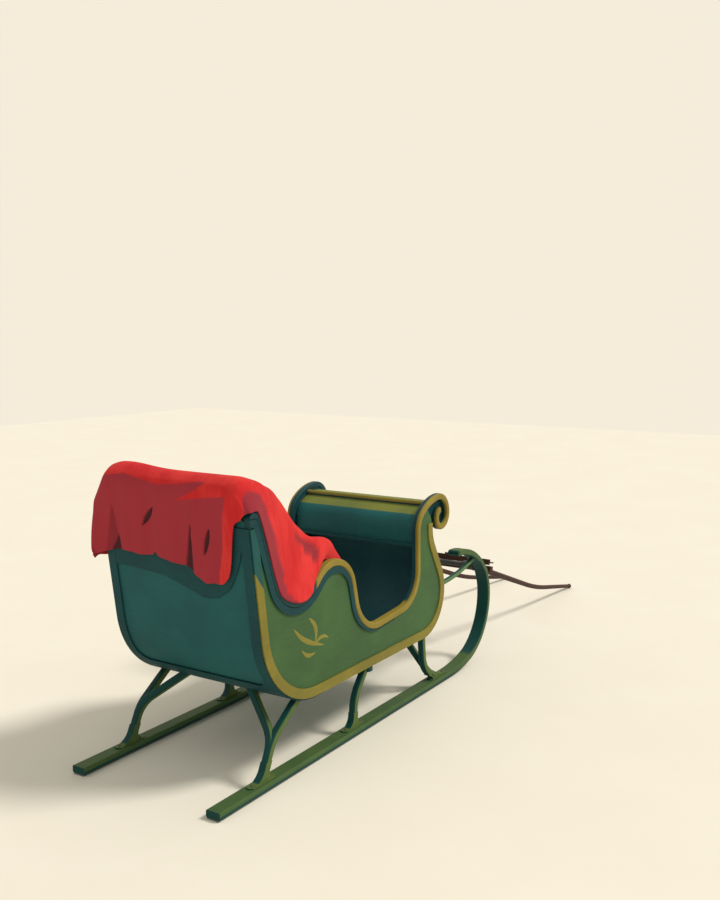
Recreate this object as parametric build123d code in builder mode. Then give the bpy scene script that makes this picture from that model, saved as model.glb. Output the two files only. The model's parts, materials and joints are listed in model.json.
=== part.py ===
"""Horse drawn sleigh: a one-horse, two-seat cutter with scrolled sides and curled runners.

Millimetres. +X is the way of travel, +Y is left, +Z is up. The sleigh stands on its runner
shoes with its shafts lowered to the ground, and the origin is on the ground under the middle
of its whole length. Places along the length are stations, counted from the runners' rear end.
"""

import os
from math import acos, asin, cos, sin, tan

from build123d import *

os.makedirs("parts", exist_ok=True)

# Runners
GAUGE = 800.0                # centre to centre of the two runners
RUNNER_WIDTH = 76.0
RUNNER_DEPTH = 34.0          # timber above the shoe
SHOE_DEPTH = 7.0
SHOE_WIDTH = 62.0
RUNNER_STRAIGHT = 2060.0     # from the rear end to the start of the curl
# Each arc of the curl: radius, turn in degrees
RUNNER_CURL = [(1000.0, 15.0), (370.0, 75.0), (300.0, 40.0), (450.0, 30.0), (450.0, 22.0)]
SHOE_ARCS = 3                # the shoe follows the curl this far
TIP_INSET = 3.0              # from the runner's sides to the ends of its rounded tip

# Shafts
SHAFT_LENGTH = 1980.0        # hinge axis to the centre of the tip
SHAFT_RADIUS = 20.0
TIP_RADIUS = 17.0
SHAFT_SPREAD = 620.0         # centre to centre at the hinge
TIP_SPREAD = 540.0
HINGE_STATION = 2509.0
HINGE_HEIGHT = 571.0

# Body
BODY_WIDTH = 860.0           # over the side panels
SIDE_THICKNESS = 24.0
BODY_BOTTOM = 326.0
FLOOR_THICKNESS = 20.0
SHEET = 14.0                 # back and dash panels
SEAT_CLEARANCE = 0.3

parking_angle = asin((HINGE_HEIGHT - TIP_RADIUS) / SHAFT_LENGTH)
front_station = HINGE_STATION + SHAFT_LENGTH * cos(parking_angle) + TIP_RADIUS
half_length = front_station / 2


def at(station):
    """X of a place counted from the runners' rear end."""
    return station - half_length


def save(piece, label):
    """Name one finished piece and write it."""
    piece.part.label = label
    export_step(piece.part, f"parts/{label}.step")


def save_pair(right, name):
    """Write the right-hand piece and its mirror image on the left."""
    save(right, f"{name}_right")
    with BuildPart() as left:
        add(mirror(right.part, about=Plane.XZ))
    save(left, f"{name}_left")


def outline(table, close=False):
    """Straight runs joined by tangent arcs, from rows of station, height, corner radius."""
    corners = [(at(station), height) for station, height, radius in table]
    radii = [radius for station, height, radius in table]
    if not close:
        radii = radii[1:-1]
    return FilletPolyline(*corners, radius=radii, close=close)


half_body = BODY_WIDTH / 2
inner_half = half_body - SIDE_THICKNESS
runner_y = GAUGE / 2
runner_top = SHOE_DEPTH + RUNNER_DEPTH
floor_top = BODY_BOTTOM + FLOOR_THICKNESS
side_plane = Plane.XZ.offset(inner_half)
outer_plane = Plane.XZ.offset(half_body)


def arcs_from(line, table, way):
    """Tangent arcs that carry a line on, from rows of radius and turn in degrees."""
    end, heading = line @ 1, line % 1
    for radius, turn in table:
        bend = JernArc(start=end, tangent=heading, radius=radius, arc_size=way * turn)
        end, heading = bend @ 1, bend % 1


def curl_up(table):
    """A runner's sole: straight along the ground, then up along the arcs of a curl."""
    arcs_from(Line((at(0), 0), (at(RUNNER_STRAIGHT), 0)), table, 1)


# Runners and shoes: one bent bar each, carried along the curl, the runner's tip rounded
with BuildLine(Plane.XZ.offset(runner_y)) as runner_line:
    curl_up(RUNNER_CURL)

with BuildLine(Plane.XZ.offset(runner_y)) as shoe_line:
    curl_up(RUNNER_CURL[:SHOE_ARCS])

runner_start = Plane(origin=(at(0), -runner_y, 0), x_dir=(0, 1, 0), z_dir=(1, 0, 0))
with BuildPart() as runner:
    with BuildSketch(runner_start):
        with Locations((0, SHOE_DEPTH + RUNNER_DEPTH / 2)):
            RectangleRounded(RUNNER_WIDTH, RUNNER_DEPTH, 7)
    sole = runner_line.wires()[0]
    sweep(path=sole)
    tip_rise = (sole % 1).rotate(Axis.Y, -90) * (SHOE_DEPTH + RUNNER_DEPTH / 2)
    with BuildSketch(Plane.XZ.offset(runner_y - RUNNER_WIDTH / 2 + TIP_INSET)):
        with Locations(((sole @ 1 + tip_rise).X, (sole @ 1 + tip_rise).Z)):
            Circle(RUNNER_DEPTH / 2 - TIP_INSET / 2)
    extrude(amount=RUNNER_WIDTH - 2 * TIP_INSET)
save_pair(runner, "runner")

with BuildPart() as shoe:
    with BuildSketch(runner_start):
        with Locations((0, SHOE_DEPTH / 2)):
            Rectangle(SHOE_WIDTH, SHOE_DEPTH)
    sweep(path=shoe_line.wires()[0])
save_pair(shoe, "shoe")

# Top rail: its lower edge runs from the ear over the seat's arm and the step, then up the dash
# Corners: station, height, corner radius
RAIL_WIDTH = 42.0
RAIL_DEPTH = 34.0
EAR_STATION = 218.0
EAR_HEIGHT = 1262.0
RAIL_CORNERS = [
    (EAR_STATION, EAR_HEIGHT - RAIL_DEPTH, 0),
    (268, EAR_HEIGHT - RAIL_DEPTH, 26),
    (483, 632, 200),
    (940, 1039, 158),
    (1081, 492, 236),
    (1692, 540, 200),
    (1686, 930, 0),
]
# Arcs of the dash's scroll, clockwise: radius of the rail's inner edge, turn in degrees
SCROLL = [(110, 55), (300, 35), (85, 90), (55, 90), (38, 90), (26, 80)]
rail_out = half_body + 10
rail_in = rail_out - RAIL_WIDTH

with BuildLine(Plane.XZ.offset(rail_out - RAIL_WIDTH / 2)) as rail_line:
    arcs_from(outline(RAIL_CORNERS), SCROLL, -1)

rail_start = Plane(
    origin=(at(EAR_STATION), -(rail_out - RAIL_WIDTH / 2), EAR_HEIGHT - RAIL_DEPTH),
    x_dir=(0, 1, 0),
    z_dir=(1, 0, 0),
)
with BuildPart() as top_rail:
    with BuildSketch(rail_start):
        with Locations((0, RAIL_DEPTH / 2)):
            RectangleRounded(RAIL_WIDTH, RAIL_DEPTH, 9)
    sweep(path=rail_line.wires()[0])
    with BuildSketch(Plane.XZ.offset(rail_in)):
        with BuildLine():
            ear_end = JernArc(
                start=(at(EAR_STATION), EAR_HEIGHT - RAIL_DEPTH),
                tangent=(0, 1),
                radius=RAIL_DEPTH,
                arc_size=-90,
            )
            Polyline(
                ear_end @ 1,
                (at(EAR_STATION) - 1, EAR_HEIGHT),
                (at(EAR_STATION) - 1, EAR_HEIGHT - RAIL_DEPTH),
                ear_end @ 0,
            )
        make_face()
    extrude(amount=RAIL_WIDTH, mode=Mode.SUBTRACT)
save_pair(top_rail, "top_rail")

# Side panels: one flat board each, under the rail, with the rounded heel and the swelled breast
# Corners: station, height, corner radius
NECK_STATION = 1822.0        # front of the neck, under the scroll
HEEL_RADIUS = 410.0
HEEL = [(EAR_STATION, EAR_HEIGHT - RAIL_DEPTH, 0), (347, BODY_BOTTOM, HEEL_RADIUS)]
BREAST = [(2143, BODY_BOTTOM, 240), (NECK_STATION, 881, 200), (NECK_STATION, 985, 70), (1765, 1045, 0)]
with BuildSketch(outer_plane) as panel_shape:
    with BuildLine():
        lower = outline(HEEL + BREAST)
        upper = outline(RAIL_CORNERS)
        throat = JernArc(
            start=upper @ 1, tangent=upper % 1, radius=SCROLL[0][0], arc_size=-SCROLL[0][1]
        )
        Line(throat @ 1, lower @ 1)
    make_face()
with BuildPart() as side_panel:
    extrude(panel_shape.sketch, amount=-SIDE_THICKNESS)
    add(top_rail.part, mode=Mode.SUBTRACT)
save_pair(side_panel, "side_panel")


def across(path):
    """Plane square to a path's start, its x across the sleigh and its y into the body."""
    wire = path.wires()[0]
    return Plane(origin=wire @ 0, x_dir=(0, 1, 0), z_dir=wire % 0)


# Side coves: a raised strip on each panel under the rail, from the ear to the step, where it
# runs out to nothing
COVE_DEPTH = 8.0
COVE_END = 1420.0            # station where the strip runs out under the rail
# Width of the strip below each run of the rail, from the ear's front slope on
COVE_WIDTHS = [32.0, 32.0, 28.0, 10.0]


def inset(corners, widths):
    """Corners of the line that runs below each run of a path of corners by that run's width."""
    normals = []
    for (x0, z0, r0), (x1, z1, r1) in zip(corners, corners[1:]):
        run = ((x1 - x0) ** 2 + (z1 - z0) ** 2) ** 0.5
        normals.append(((z1 - z0) / run, -(x1 - x0) / run))
    moved = []
    for (x, z, radius), (a, b), (c, d), near, far in zip(
        corners[1:], normals, normals[1:], widths, widths[1:]
    ):
        turn = a * d - b * c
        moved.append((x + (near * d - far * b) / turn, z + (far * a - near * c) / turn, radius))
    return moved


# Below the rail a valley's corner gets wider and a crest's corner tighter by the strip's width
valley, arm, step = inset(RAIL_CORNERS[1:6], COVE_WIDTHS)
ear_slope = (RAIL_CORNERS[2][0] - RAIL_CORNERS[1][0]) / (RAIL_CORNERS[1][1] - RAIL_CORNERS[2][1])
ear_corner = (
    valley[0] - (EAR_HEIGHT - 2 * RAIL_DEPTH - valley[1]) * ear_slope, EAR_HEIGHT - 2 * RAIL_DEPTH, 12
)
cove_run_out = RAIL_CORNERS[4][1] + (COVE_END - RAIL_CORNERS[4][0]) * (
    RAIL_CORNERS[5][1] - RAIL_CORNERS[4][1]
) / (RAIL_CORNERS[5][0] - RAIL_CORNERS[4][0])
with BuildPart() as side_cove:
    with BuildSketch(outer_plane):
        add(panel_shape.sketch_local)
        with BuildLine():
            under = outline([
                (EAR_STATION, ear_corner[1], 0),
                ear_corner,
                (valley[0], valley[1], valley[2] + COVE_WIDTHS[1]),
                (arm[0], arm[1], arm[2] - COVE_WIDTHS[2]),
                (step[0], step[1], step[2] + COVE_WIDTHS[3]),
                (COVE_END, cove_run_out, 0),
            ])
            Polyline(
                under @ 1,
                (at(COVE_END), EAR_HEIGHT),
                (at(front_station), EAR_HEIGHT),
                (at(front_station), 0),
                (at(0), 0),
                (at(0), ear_corner[1]),
                under @ 0,
            )
        make_face(mode=Mode.SUBTRACT)
    extrude(amount=COVE_DEPTH)
save_pair(side_cove, "side_cove")

# Side mouldings: a flat band on each panel's outer face, round the heel, bottom and breast
MOULDING_WIDTH = 46.0
MOULDING_DEPTH = 8.0
MOULDING_TOP = 1185.0
MOULDING_END = 960.0         # height where the band runs out on the neck
heel_slope = (HEEL[1][0] - HEEL[0][0]) / (HEEL[0][1] - HEEL[1][1])


def back_station(height):
    """Station of the back's outer face at a height above the heel."""
    return EAR_STATION + (HEEL[0][1] - height) * heel_slope


with BuildLine(outer_plane) as moulding_line:
    outline([(back_station(MOULDING_TOP), MOULDING_TOP, 0)] + HEEL[1:] + BREAST[:2]
        + [(NECK_STATION, MOULDING_END, 0)])
with BuildPart() as side_moulding:
    with BuildSketch(across(moulding_line)):
        with Locations((-MOULDING_DEPTH / 2, MOULDING_WIDTH / 2)):
            Rectangle(MOULDING_DEPTH, MOULDING_WIDTH)
    sweep(path=moulding_line.wires()[0])
    add(top_rail.part, mode=Mode.SUBTRACT)
    add(side_cove.part, mode=Mode.SUBTRACT)
save_pair(side_moulding, "side_moulding")

# Back panel: a sheet bent round the heel between the sides, with an arched top
BACK_CREST = 1330.0
BACK_SHOULDER = 1204.0
RISER_STATION = 939.0        # front face of the seat's riser, where the floor boards start
FLOOR_FRONT = 1726.0
with BuildLine(Plane.XZ) as back_line:
    outline([(back_station(BACK_CREST), BACK_CREST, 0), HEEL[1], (RISER_STATION, BODY_BOTTOM, 0)])
with BuildPart() as back_panel:
    with BuildSketch(across(back_line)):
        with Locations((0, SHEET / 2)):
            Rectangle(2 * inner_half, SHEET)
    sweep(path=back_line.wires()[0])
    with BuildSketch(Plane.YZ.offset(at(0))):
        with BuildLine():
            crown = ThreePointArc(
                (-half_body, BACK_SHOULDER), (0, BACK_CREST), (half_body, BACK_SHOULDER)
            )
            Polyline(
                crown @ 0,
                (-half_body, BACK_CREST + SHEET),
                (half_body, BACK_CREST + SHEET),
                crown @ 1,
            )
        make_face()
    extrude(amount=RISER_STATION, mode=Mode.SUBTRACT)
save(back_panel, "back_panel")

# Back frame: a raised border on the back, over the ends of the side panels
FRAME_DEPTH = 8.0
FRAME_BORDER = 48.0
FRAME_TOP = 1190.0
FRAME_FOOT = 770.0           # station of the frame's front end, under the body
WINDOW_TOP = 1130.0
WINDOW_BOTTOM = 440.0
WINDOW_RADIUS = 60.0
with BuildLine(Plane.XZ) as frame_line:
    outline([(back_station(FRAME_TOP), FRAME_TOP, 0), HEEL[1], (FRAME_FOOT, BODY_BOTTOM, 0)])
with BuildPart() as back_frame:
    with BuildSketch(across(frame_line)):
        with Locations((0, -FRAME_DEPTH / 2)):
            Rectangle(BODY_WIDTH, FRAME_DEPTH)
    sweep(path=frame_line.wires()[0])
    with BuildSketch(Plane.YZ.offset(at(0))):
        with Locations((0, (WINDOW_TOP + WINDOW_BOTTOM) / 2)):
            RectangleRounded(
                BODY_WIDTH - 2 * FRAME_BORDER, WINDOW_TOP - WINDOW_BOTTOM, WINDOW_RADIUS
            )
    extrude(amount=FRAME_FOOT, mode=Mode.SUBTRACT)
save(back_frame, "back_frame")

# Floor boards between the seat's riser and the dash's foot
with BuildPart() as floor_board:
    with BuildSketch(Plane.XY.offset(BODY_BOTTOM)):
        with Locations((at((RISER_STATION + FLOOR_FRONT) / 2), 0)):
            Rectangle(FLOOR_FRONT - RISER_STATION, 2 * inner_half)
    extrude(amount=FLOOR_THICKNESS)
save(floor_board, "floor")

# Dash roll: the sheet that curls over with the rails' scrolls
ROLL_BOTTOM = 862.0
ROLL_SEAT = 8.0              # from the rails' inner edge to the sheet
scroll_station, scroll_height = RAIL_CORNERS[-1][:2]
with BuildLine(Plane.XZ) as roll_line:
    upright = Line((at(scroll_station), ROLL_BOTTOM), (at(scroll_station), scroll_height))
    arcs_from(upright, SCROLL[:-1], -1)
roll_start = Plane(origin=roll_line.wires()[0] @ 0, x_dir=(0, -1, 0), z_dir=(0, 0, 1))
with BuildPart() as dash_roll:
    with BuildSketch(roll_start):
        with Locations((0, ROLL_SEAT + SHEET / 2)):
            Rectangle(2 * rail_in, SHEET)
    sweep(path=roll_line.wires()[0])
save(dash_roll, "dash_roll")

# Dash panel: a sheet bent round the breast between the sides, up into the roll
DASH_CREST = 1072.0
with BuildLine(Plane.XZ) as dash_line:
    outline([(FLOOR_FRONT, BODY_BOTTOM, 0)] + BREAST[:2] + [(NECK_STATION, DASH_CREST, 0)])
with BuildPart() as dash_panel:
    with BuildSketch(across(dash_line)):
        with Locations((0, SHEET / 2)):
            Rectangle(2 * inner_half, SHEET)
    sweep(path=dash_line.wires()[0])
    add(dash_roll.part, mode=Mode.SUBTRACT)
    add(top_rail.part, mode=Mode.SUBTRACT)
    add(mirror(top_rail.part, about=Plane.XZ, mode=Mode.PRIVATE), mode=Mode.SUBTRACT)
save(dash_panel, "dash_panel")

# Dash shelf: closes the roll from below, back to the dash panel
with BuildPart() as dash_shelf:
    with BuildSketch(Plane.XZ.offset(-rail_in)):
        with BuildLine():
            Polyline(
                (at(scroll_station - ROLL_SEAT - SHEET), ROLL_BOTTOM - SHEET),
                (at(NECK_STATION + SHEET), ROLL_BOTTOM - SHEET),
                (at(NECK_STATION + SHEET / 2), ROLL_BOTTOM),
                (at(scroll_station - ROLL_SEAT - SHEET), ROLL_BOTTOM),
                close=True,
            )
        make_face()
    extrude(amount=2 * rail_in)
    add(dash_panel.part, mode=Mode.SUBTRACT)
save(dash_shelf, "dash_shelf")

# Seat: a board on a riser, with a cushion on it and one against the back
SEAT_HEIGHT = 700.0
SEAT_BOARD = 18.0
SEAT_FRONT = 960.0
SEAT_CUSHION = 132.0         # thickness of the seat cushion
CUSHION_FRONT = 978.0
CUSHION_HALF = 388.0
CUSHION_RADIUS = 40.0
SQUAB_THICKNESS = 105.0
SQUAB_RISE = 42.0            # of the back cushion above the back's crest
SQUAB_RADIUS = 50.0
cushion_top = SEAT_HEIGHT + SEAT_BOARD + SEAT_CUSHION
squab_top = BACK_CREST + SQUAB_RISE


def inside_back(height):
    """Station of the back panel's inner face."""
    return back_station(height) + SHEET * (1 + heel_slope**2) ** 0.5


with BuildPart() as seat_board:
    with BuildSketch(Plane.XZ.offset(-inner_half)):
        with BuildLine():
            Polyline(
                (at(inside_back(SEAT_HEIGHT)), SEAT_HEIGHT),
                (at(SEAT_FRONT), SEAT_HEIGHT),
                (at(SEAT_FRONT), SEAT_HEIGHT + SEAT_BOARD),
                (at(inside_back(SEAT_HEIGHT + SEAT_BOARD)), SEAT_HEIGHT + SEAT_BOARD),
                close=True,
            )
        make_face()
    extrude(amount=2 * inner_half)
save(seat_board, "seat_board")

with BuildPart() as seat_riser:
    with BuildSketch(Plane.XY.offset(BODY_BOTTOM + SHEET)):
        with Locations((at(RISER_STATION - SEAT_BOARD / 2), 0)):
            Rectangle(SEAT_BOARD, 2 * inner_half)
    extrude(amount=SEAT_HEIGHT - BODY_BOTTOM - SHEET)
save(seat_riser, "seat_riser")

squab_foot = SEAT_HEIGHT + SEAT_BOARD + SEAT_CLEARANCE
with BuildPart() as back_cushion:
    with BuildSketch(Plane.XZ.offset(-CUSHION_HALF)):
        with BuildLine():
            Polyline(
                (at(inside_back(squab_foot) + SEAT_CLEARANCE), squab_foot),
                (at(inside_back(squab_foot) + SQUAB_THICKNESS), squab_foot),
                (at(inside_back(squab_top) + SQUAB_THICKNESS), squab_top),
                (at(inside_back(squab_top) + SEAT_CLEARANCE), squab_top),
                close=True,
            )
        make_face()
    extrude(amount=2 * CUSHION_HALF)
    fillet(back_cushion.edges().filter_by(Axis.Y).group_by(Axis.Z)[-1], radius=SQUAB_RADIUS)
save(back_cushion, "back_cushion")

with BuildPart() as seat_cushion:
    with BuildSketch(Plane.XZ.offset(-CUSHION_HALF)):
        with BuildLine():
            Polyline(
                (at(inside_back(squab_foot) + SQUAB_THICKNESS + SEAT_CLEARANCE), squab_foot),
                (at(CUSHION_FRONT), squab_foot),
                (at(CUSHION_FRONT), cushion_top),
                (at(inside_back(cushion_top) + SQUAB_THICKNESS + SEAT_CLEARANCE), cushion_top),
                close=True,
            )
        make_face()
    extrude(amount=2 * CUSHION_HALF)
    fillet(seat_cushion.edges().filter_by(Axis.Y).sort_by(Axis.X)[-2:], radius=CUSHION_RADIUS)
save(seat_cushion, "seat_cushion")

# Lap robe: thrown over the back, down the squab and on the seat, bunched up inside each arm,
# with one end outside the left ear
ROBE_THICKNESS = 9.0
ROBE_HEM = 968.0
ROBE_FRONT = 1000.0
ROBE_LEFT = 470.0
ROBE_FALL = 8.0              # thickness of the falls inside the arms
ROBE_EASE = 1.0              # between the robe and what it hangs against
ROBE_TURN = 82.0             # from the crown down to the flap's front edge
ROBE_LAP = 60.0              # from the hem up to the front corner of the left end
# Ridge of each fall, from the crown forward: station, height, corner radius
ROBE_RIDGE = [(372, 1372, 60), (610, 1140, 260), (905, 1010, 70), (1000, 880, 0)]
robe_half = CUSHION_HALF + SEAT_CLEARANCE + ROBE_FALL
robe_rear = FRAME_DEPTH * (1 + heel_slope**2) ** 0.5 + ROBE_EASE
robe_crown = squab_top + SEAT_CLEARANCE
robe_turn = robe_crown - ROBE_TURN
robe_over = [
    (back_station(ROBE_HEM) - robe_rear, ROBE_HEM, 0),
    (back_station(robe_crown) - robe_rear, robe_crown, 45),
    (inside_back(robe_crown) + SQUAB_THICKNESS + ROBE_EASE, robe_crown, SQUAB_RADIUS + ROBE_EASE),
]
robe_lap = [
    (inside_back(cushion_top) + SQUAB_THICKNESS + 8 * ROBE_EASE, cushion_top + SEAT_CLEARANCE, 60),
    (ROBE_FRONT, cushion_top + SEAT_CLEARANCE, 0),
]
with BuildLine(Plane.XZ) as robe_line:
    outline(robe_over + robe_lap)
with BuildLine(Plane.XZ) as robe_crest_line:
    outline(robe_over + [(inside_back(robe_turn) + SQUAB_THICKNESS + 1.5 * ROBE_EASE, robe_turn, 0)])
with BuildPart() as lap_robe:
    with BuildSketch(across(robe_line)):
        with Locations((0, ROBE_THICKNESS / 2)):
            Rectangle(2 * robe_half, ROBE_THICKNESS)
    sweep(path=robe_line.wires()[0])
    with BuildSketch(across(robe_crest_line)):
        with Locations(((ROBE_LEFT - robe_half) / 2, ROBE_THICKNESS / 2)):
            Rectangle(ROBE_LEFT + robe_half, ROBE_THICKNESS)
    sweep(path=robe_crest_line.wires()[0])
    with BuildSketch(Plane.XZ.offset(-(ROBE_LEFT - ROBE_THICKNESS))):
        with BuildLine():
            Polyline(
                (at(back_station(ROBE_HEM) - robe_rear - ROBE_THICKNESS), ROBE_HEM),
                (at(inside_back(ROBE_HEM) + SQUAB_THICKNESS + ROBE_LAP / 2), ROBE_HEM + ROBE_LAP),
                (at(inside_back(robe_crown) + SQUAB_THICKNESS / 2), robe_crown + ROBE_THICKNESS / 2),
                (at(back_station(BACK_CREST) - robe_rear - ROBE_THICKNESS), BACK_CREST),
                close=True,
            )
        make_face()
    extrude(amount=-ROBE_THICKNESS)
    for outer in (robe_half, ROBE_FALL - robe_half):
        with BuildSketch(Plane.XZ.offset(outer)):
            with BuildLine():
                ridge = outline([(inside_back(robe_crown) + ROBE_EASE, robe_crown, 0)] + ROBE_RIDGE)
                Polyline(
                    ridge @ 1,
                    (at(ROBE_FRONT), cushion_top + SEAT_CLEARANCE),
                    (at(inside_back(cushion_top) + ROBE_EASE), cushion_top + SEAT_CLEARANCE),
                    ridge @ 0,
                )
            make_face()
        extrude(amount=-ROBE_FALL)
save(lap_robe, "lap_robe")

# Cross benches under the body
BENCH_DEPTH = 44.0
BENCH_HEIGHT = 30.0
# Name, station, half length, depth of what lies between the body's bottom and the bench
BENCHES = [
    ("rear", 735, 235, FRAME_DEPTH),
    ("middle", 1190, half_body, 0),
    ("front", 1765, 270, 0),
]
with BuildPart() as breast_core:
    with BuildSketch(Plane.XZ.offset(-half_body)):
        with BuildLine():
            keel = outline(
                [(RISER_STATION, BODY_BOTTOM, 0)] + BREAST[:2] + [(NECK_STATION, DASH_CREST, 0)]
            )
            Polyline(keel @ 1, (at(RISER_STATION), DASH_CREST), keel @ 0)
        make_face()
    extrude(amount=BODY_WIDTH)
with BuildPart() as heel_core:
    with BuildSketch(Plane.XZ.offset(-half_body)):
        with BuildLine():
            keel = outline(
                [(back_station(FRAME_TOP), FRAME_TOP, 0), HEEL[1], (FRAME_FOOT, BODY_BOTTOM, 0)]
            )
            Polyline(keel @ 1, (at(FRAME_FOOT), FRAME_TOP), keel @ 0)
        make_face()
        offset(amount=FRAME_DEPTH)
    extrude(amount=BODY_WIDTH)
benches = {}
for name, station, reach, packing in BENCHES:
    with BuildPart() as bar:
        with BuildSketch(Plane.XY.offset(BODY_BOTTOM - packing - BENCH_HEIGHT)):
            with Locations((at(station), 0)):
                RectangleRounded(BENCH_DEPTH, 2 * reach, 12)
        extrude(amount=BENCH_HEIGHT)
    save(bar, f"bench_{name}")
    benches[name] = bar.part

# Bent knees: a flared foot on the runner, a post bowed up to the body, and on the end knees an
# arm that leaves the post and curves inward to the body
KNEE_WIDTH = 44.0
KNEE_DEPTH = 36.0
KNEE_ROUND = 9.0
FOOT_REACH = 80.0            # from the post's foot to each end of the flare
FOOT_LIP = 6.0
FOOT_SHARE = 0.5             # of the post's first run that the flare climbs
FOOT_HOLLOW = 0.85           # of the lip's length that the hollow curve takes
# Post: name, foot station, then station and height of the bend and of the top, bend radius
POSTS = [
    ("rear", 322, (400, 205), (640, 373), 170),
    ("middle", 1062, (1075, 190), (1200, 345), 180),
    ("front", 1950, (1790, 120), (1765, 345), 150),
]
# Arm: distance along the post's first run to its root and to its bend, then station, y and
# height of its top, bend radius
ARMS = {
    "rear": (95, 190, (520, -180, 386), 150),
    "front": (50, 110, (1765, -250, 345), 80),
}


def bent_bar(first, middle, last, radius):
    """A knee's bar through three points in space, bent round at the middle one."""
    start, corner, end = Vector(*first), Vector(*middle), Vector(*last)
    bend_plane = Plane(
        origin=start, x_dir=corner - start, z_dir=(corner - start).cross(end - corner)
    )
    corners = [bend_plane.to_local_coords(point) for point in (start, corner, end)]
    with BuildLine(bend_plane) as route:
        FilletPolyline(*[(point.X, point.Y) for point in corners], radius=radius)
    wire = route.wires()[0]
    with BuildSketch(Plane(origin=wire @ 0, x_dir=bend_plane.z_dir, z_dir=wire % 0)) as section:
        RectangleRounded(KNEE_DEPTH, KNEE_DEPTH, KNEE_ROUND)
    sweep(section.sketch, path=wire)


def flared_foot(foot, lean, rise):
    """A knee's foot: it spreads to both sides along the runner in two hollow curves."""
    half_bar = KNEE_DEPTH / 2 * (1 + lean**2) ** 0.5
    flanks = []
    for side in (-1, 1):
        toe = foot + side * FOOT_REACH
        heel = foot + side * half_bar + lean * FOOT_LIP
        corner = acos(side * lean / (1 + lean**2) ** 0.5)
        hollow = FOOT_HOLLOW * abs(toe - heel) * tan(corner / 2)
        flanks.append([
            (toe, runner_top, 0),
            (toe, runner_top + FOOT_LIP, FOOT_LIP / 3),
            (heel, runner_top + FOOT_LIP, hollow),
            (foot + side * half_bar + lean * rise, runner_top + rise, 0),
        ])
    with BuildSketch(Plane.XZ.offset(runner_y - KNEE_DEPTH / 2)) as flare:
        with BuildLine():
            rear_flank = outline(flanks[0])
            front_flank = outline(flanks[1][::-1])
            Line(rear_flank @ 1, front_flank @ 0)
            Line(front_flank @ 1, rear_flank @ 0)
        make_face()
    extrude(flare.sketch, amount=KNEE_DEPTH)
    with BuildSketch(Plane.XY.offset(runner_top)) as plate:
        with Locations((at(foot), -runner_y)):
            SlotOverall(2 * FOOT_REACH + KNEE_WIDTH / 2, KNEE_WIDTH)
    extrude(plate.sketch, amount=FOOT_LIP)


for name, foot, bend, top, radius in POSTS:
    lean = (bend[0] - foot) / (bend[1] - runner_top)
    first_run = Vector(bend[0] - foot, 0, bend[1] - runner_top).normalized()
    root = Vector(at(foot), -runner_y, runner_top)
    with BuildPart() as knee:
        bent_bar(
            (at(foot), -runner_y, runner_top),
            (at(bend[0]), -runner_y, bend[1]),
            (at(top[0]), -runner_y, top[1]),
            radius,
        )
        if name in ARMS:
            near, far, (station, y, height), arm_radius = ARMS[name]
            bent_bar(
                tuple(root + first_run * near),
                tuple(root + first_run * far),
                (at(station), y, height),
                arm_radius,
            )
        flared_foot(foot, lean, FOOT_SHARE * (bend[1] - runner_top))
        for seat in (runner.part, heel_core.part, breast_core.part, *benches.values()):
            add(seat, mode=Mode.SUBTRACT)
    save_pair(knee, f"knee_{name}")

# Braces from the breast to the runners' curls
BRACE_RADIUS = 14.0
# Station and height of the rear end, the middle and the front end
BRACE = [(1975, 575), (2200, 592), (2400, 640)]
with BuildLine(Plane.XZ.offset(runner_y)) as brace_line:
    ThreePointArc(*[(at(station), height) for station, height in BRACE])
with BuildPart() as tip_brace:
    with BuildSketch(Plane(origin=brace_line.wires()[0] @ 0, z_dir=brace_line.wires()[0] % 0)):
        Circle(BRACE_RADIUS)
    sweep(path=brace_line.wires()[0])
    add(runner.part, mode=Mode.SUBTRACT)
    add(side_panel.part, mode=Mode.SUBTRACT)
    add(side_moulding.part, mode=Mode.SUBTRACT)
save_pair(tip_brace, "tip_brace")

# Nose bar between the curls: the shafts hang on it
NOSE_RADIUS = 15.0
HINGE_CLEARANCE = 0.05
FLANGE_RADIUS = 30.0
FLANGE = 8.0
EYE_WIDTH = 40.0
EYE_RADIUS = 25.0
COLLAR_RADIUS = 20.0
COLLAR = 8.0
EYE_PLAY = 1.0
inner_runner = runner_y - RUNNER_WIDTH / 2
eye_y = SHAFT_SPREAD / 2
# Rounds on the bar: half-way out, radius, half width
with BuildPart() as nose_bar:
    with BuildSketch(Plane.XZ.offset(-inner_runner)):
        with Locations((at(HINGE_STATION), HINGE_HEIGHT)):
            Circle(NOSE_RADIUS)
    extrude(amount=2 * inner_runner)
    rounds = [
        (inner_runner - FLANGE, FLANGE_RADIUS, FLANGE),
        (eye_y + EYE_WIDTH / 2 + EYE_PLAY, COLLAR_RADIUS, COLLAR),
        (eye_y - EYE_WIDTH / 2 - EYE_PLAY - COLLAR, COLLAR_RADIUS, COLLAR),
    ]
    for distance, radius, width in rounds:
        for side in (-1, 1):
            near = side * distance
            with BuildSketch(Plane.XZ.offset(near)):
                with Locations((at(HINGE_STATION), HINGE_HEIGHT)):
                    Circle(radius)
            extrude(amount=side * width)
save(nose_bar, "nose_bar")

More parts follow.
